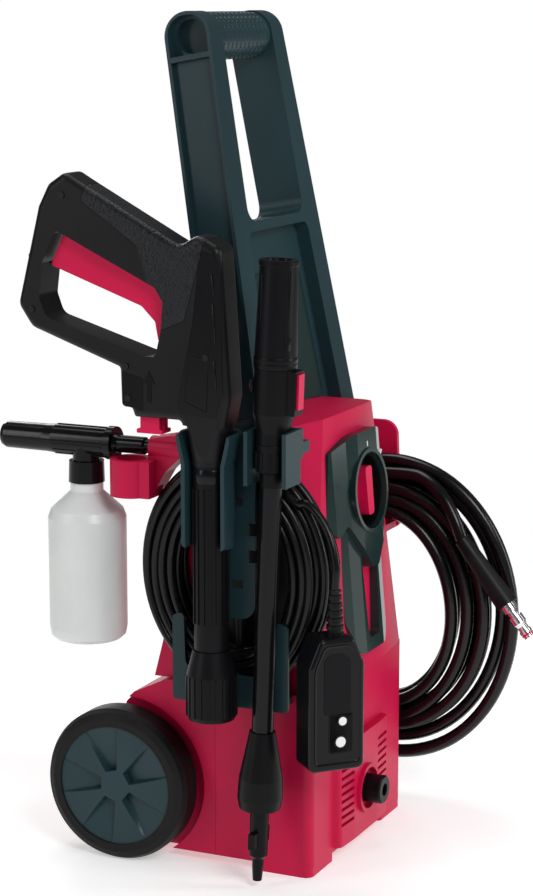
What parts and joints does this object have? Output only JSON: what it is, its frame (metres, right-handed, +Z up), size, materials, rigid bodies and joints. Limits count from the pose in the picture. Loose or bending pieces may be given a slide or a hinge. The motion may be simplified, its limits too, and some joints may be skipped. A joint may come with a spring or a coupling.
{
  "type": "pressure washer",
  "caption": "Upright electric pressure washer on two wheels with a tall loop handle, a spray gun and lance in side clips, a soap bottle, and coiled cord and hose",
  "frame": {"origin": "on the floor plane, at the middle of the floor plate under the base", "axes": "+Z up along the tower and handle; -Y towards the control knob; -X side carries the gun, lance, soap bottle and power cord"},
  "size_m": [0.3689, 0.4704, 0.8298],
  "materials": {
    "red_plastic": "moulded satin",
    "red_gloss": "smooth",
    "slate_plastic": "moulded satin",
    "slate_gloss": "semi-gloss",
    "black_plastic": "moulded satin",
    "tyre": "matte",
    "rubber": "matte",
    "cord_rubber": "satin",
    "hose_rubber": "satin",
    "steel": "brushed",
    "aluminium": "cast",
    "brass": "machined",
    "chrome": "polished",
    "white_plastic": "translucent satin",
    "clear_tube": "translucent"
  },
  "bodies": {
    "chassis": {"axle": "steel", "base_front_shell": "red_plastic", "base_rear_shell": "red_plastic", "base_floor_plate": "black_plastic", "tower_front_cover": "red_plastic", "tower_rear_cover": "red_plastic", "handle_frame": "slate_plastic", "handle_grip": "slate_plastic", "control_bezel": "slate_gloss", "switch_dish": "black_plastic", "switch_body": "black_plastic", "motor_casing": "steel", "pump_body": "aluminium", "pump_pistons": "steel", "pump_manifold": "aluminium", "outlet_connector": "black_plastic", "inlet_connector": "black_plastic", "accessory_holster": "slate_plastic", "lower_cord_hook": "slate_plastic", "accessory_bracket": "red_plastic", "cord_gland": "rubber", "power_cord_coil": "cord_rubber", "power_cord_tail": "cord_rubber", "gfci_plug_body": "black_plastic", "plug_prongs": "brass", "plug_strain_relief": "rubber", "hose_coil": "hose_rubber", "hose_hook": "red_plastic", "hose_tail": "hose_rubber", "hose_boot": "rubber", "hose_nipple": "chrome", "hose_pump_end": "black_plastic", "casing_screws": "steel"},
    "left_wheel": {"wheel_left_tyre": "tyre", "wheel_left_hub": "slate_plastic"},
    "right_wheel": {"wheel_right_tyre": "tyre", "wheel_right_hub": "slate_plastic"},
    "knob": {"switch_knob": "red_gloss"},
    "rotor": {"motor_rotor": "steel", "swash_plate": "steel"},
    "gun": {"gun_left_shell": "black_plastic", "gun_right_shell": "black_plastic", "gun_screws": "steel", "gun_valve": "brass", "gun_lance_tube": "black_plastic"},
    "trigger_lever": {"trigger": "red_gloss"},
    "lock_tab": {"trigger_lock": "red_gloss"},
    "inlet_clip": {"gun_inlet_clip": "red_gloss"},
    "gun_nozzle": {"gun_lance_nozzle": "black_plastic"},
    "lance": {"lance_fitting": "black_plastic", "lance_tube": "black_plastic", "lance_body": "black_plastic"},
    "latch_button": {"lance_latch": "red_gloss"},
    "lance_nozzle": {"lance_nozzle_cap": "black_plastic"},
    "soap_nozzle": {"soap_nozzle_body": "black_plastic", "dip_tube": "clear_tube"},
    "soap_tip": {"soap_nozzle_tip": "black_plastic"},
    "bottle": {"soap_bottle": "white_plastic"},
    "test_button": {"gfci_test_button": "white_plastic"},
    "reset_button": {"gfci_reset_button": "white_plastic"}
  },
  "joints": [
    {"name": "left_wheel_spin", "type": "hinge", "parent": "chassis", "child": "left_wheel", "pos_m": [-0.1335, 0.078, 0.077], "axis": [-1, 0, 0], "continuous": true},
    {"name": "right_wheel_spin", "type": "hinge", "parent": "chassis", "child": "right_wheel", "pos_m": [0.1335, 0.078, 0.077], "axis": [1, 0, 0], "continuous": true},
    {"name": "knob_turn", "type": "hinge", "parent": "chassis", "child": "knob", "pos_m": [0, -0.131, 0.365], "axis": [0, -0.9962, 0.0872], "range_deg": [-90, 0]},
    {"name": "rotor_spin", "type": "hinge", "parent": "chassis", "child": "rotor", "pos_m": [0, -0.044, 0.24], "axis": [0, 0, 1], "continuous": true},
    {"name": "gun_removal", "type": "slide", "parent": "chassis", "child": "gun", "axis": [-1, 0, 0], "range_m": [0, 0.12]},
    {"name": "trigger_pull", "type": "hinge", "parent": "gun", "child": "trigger_lever", "pos_m": [-0.171, 0.002, 0.577], "axis": [1, 0, 0], "range_deg": [0, 6], "stiffness_Nm_per_rad": 1.5, "springref_deg": -14.32},
    {"name": "trigger_lock_push", "type": "slide", "parent": "gun", "child": "lock_tab", "axis": [0, -1, 0], "range_m": [0, 0.004]},
    {"name": "inlet_clip_pull", "type": "slide", "parent": "gun", "child": "inlet_clip", "axis": [0, 1, 0], "range_m": [0, 0.004]},
    {"name": "gun_nozzle_twist", "type": "hinge", "parent": "gun", "child": "gun_nozzle", "pos_m": [-0.171, -0.039, 0.2], "axis": [0, 0, 1], "range_deg": [0, 90]},
    {"name": "lance_removal", "type": "slide", "parent": "chassis", "child": "lance", "axis": [-1, 0, 0], "range_m": [0, 0.12]},
    {"name": "latch_press", "type": "slide", "parent": "lance", "child": "latch_button", "axis": [0, 0.9993, 0.0377], "range_m": [0, 0.0025], "stiffness_N_per_m": 600, "springref_m": -0.001},
    {"name": "lance_nozzle_twist", "type": "hinge", "parent": "lance", "child": "lance_nozzle", "pos_m": [-0.16, -0.10213, 0.55761], "axis": [0, -0.0377, 0.9993], "range_deg": [0, 90]},
    {"name": "soap_nozzle_removal", "type": "slide", "parent": "chassis", "child": "soap_nozzle", "axis": [0, 1, 0], "range_m": [0, 0.07]},
    {"name": "soap_tip_twist", "type": "hinge", "parent": "soap_nozzle", "child": "soap_tip", "pos_m": [-0.128, 0.18, 0.417], "axis": [0, 1, 0], "range_deg": [0, 90]},
    {"name": "bottle_unscrew", "type": "hinge", "parent": "soap_nozzle", "child": "bottle", "pos_m": [-0.128, 0.117, 0.38], "axis": [0, 0, 1], "range_deg": [0, 360]},
    {"name": "test_press", "type": "slide", "parent": "chassis", "child": "test_button", "axis": [0.682, 0.7314, 0], "range_m": [0, 0.0015], "stiffness_N_per_m": 500, "springref_m": -0.001},
    {"name": "reset_press", "type": "slide", "parent": "chassis", "child": "reset_button", "axis": [0.682, 0.7314, 0], "range_m": [0, 0.0015], "stiffness_N_per_m": 500, "springref_m": -0.001}
  ]
}
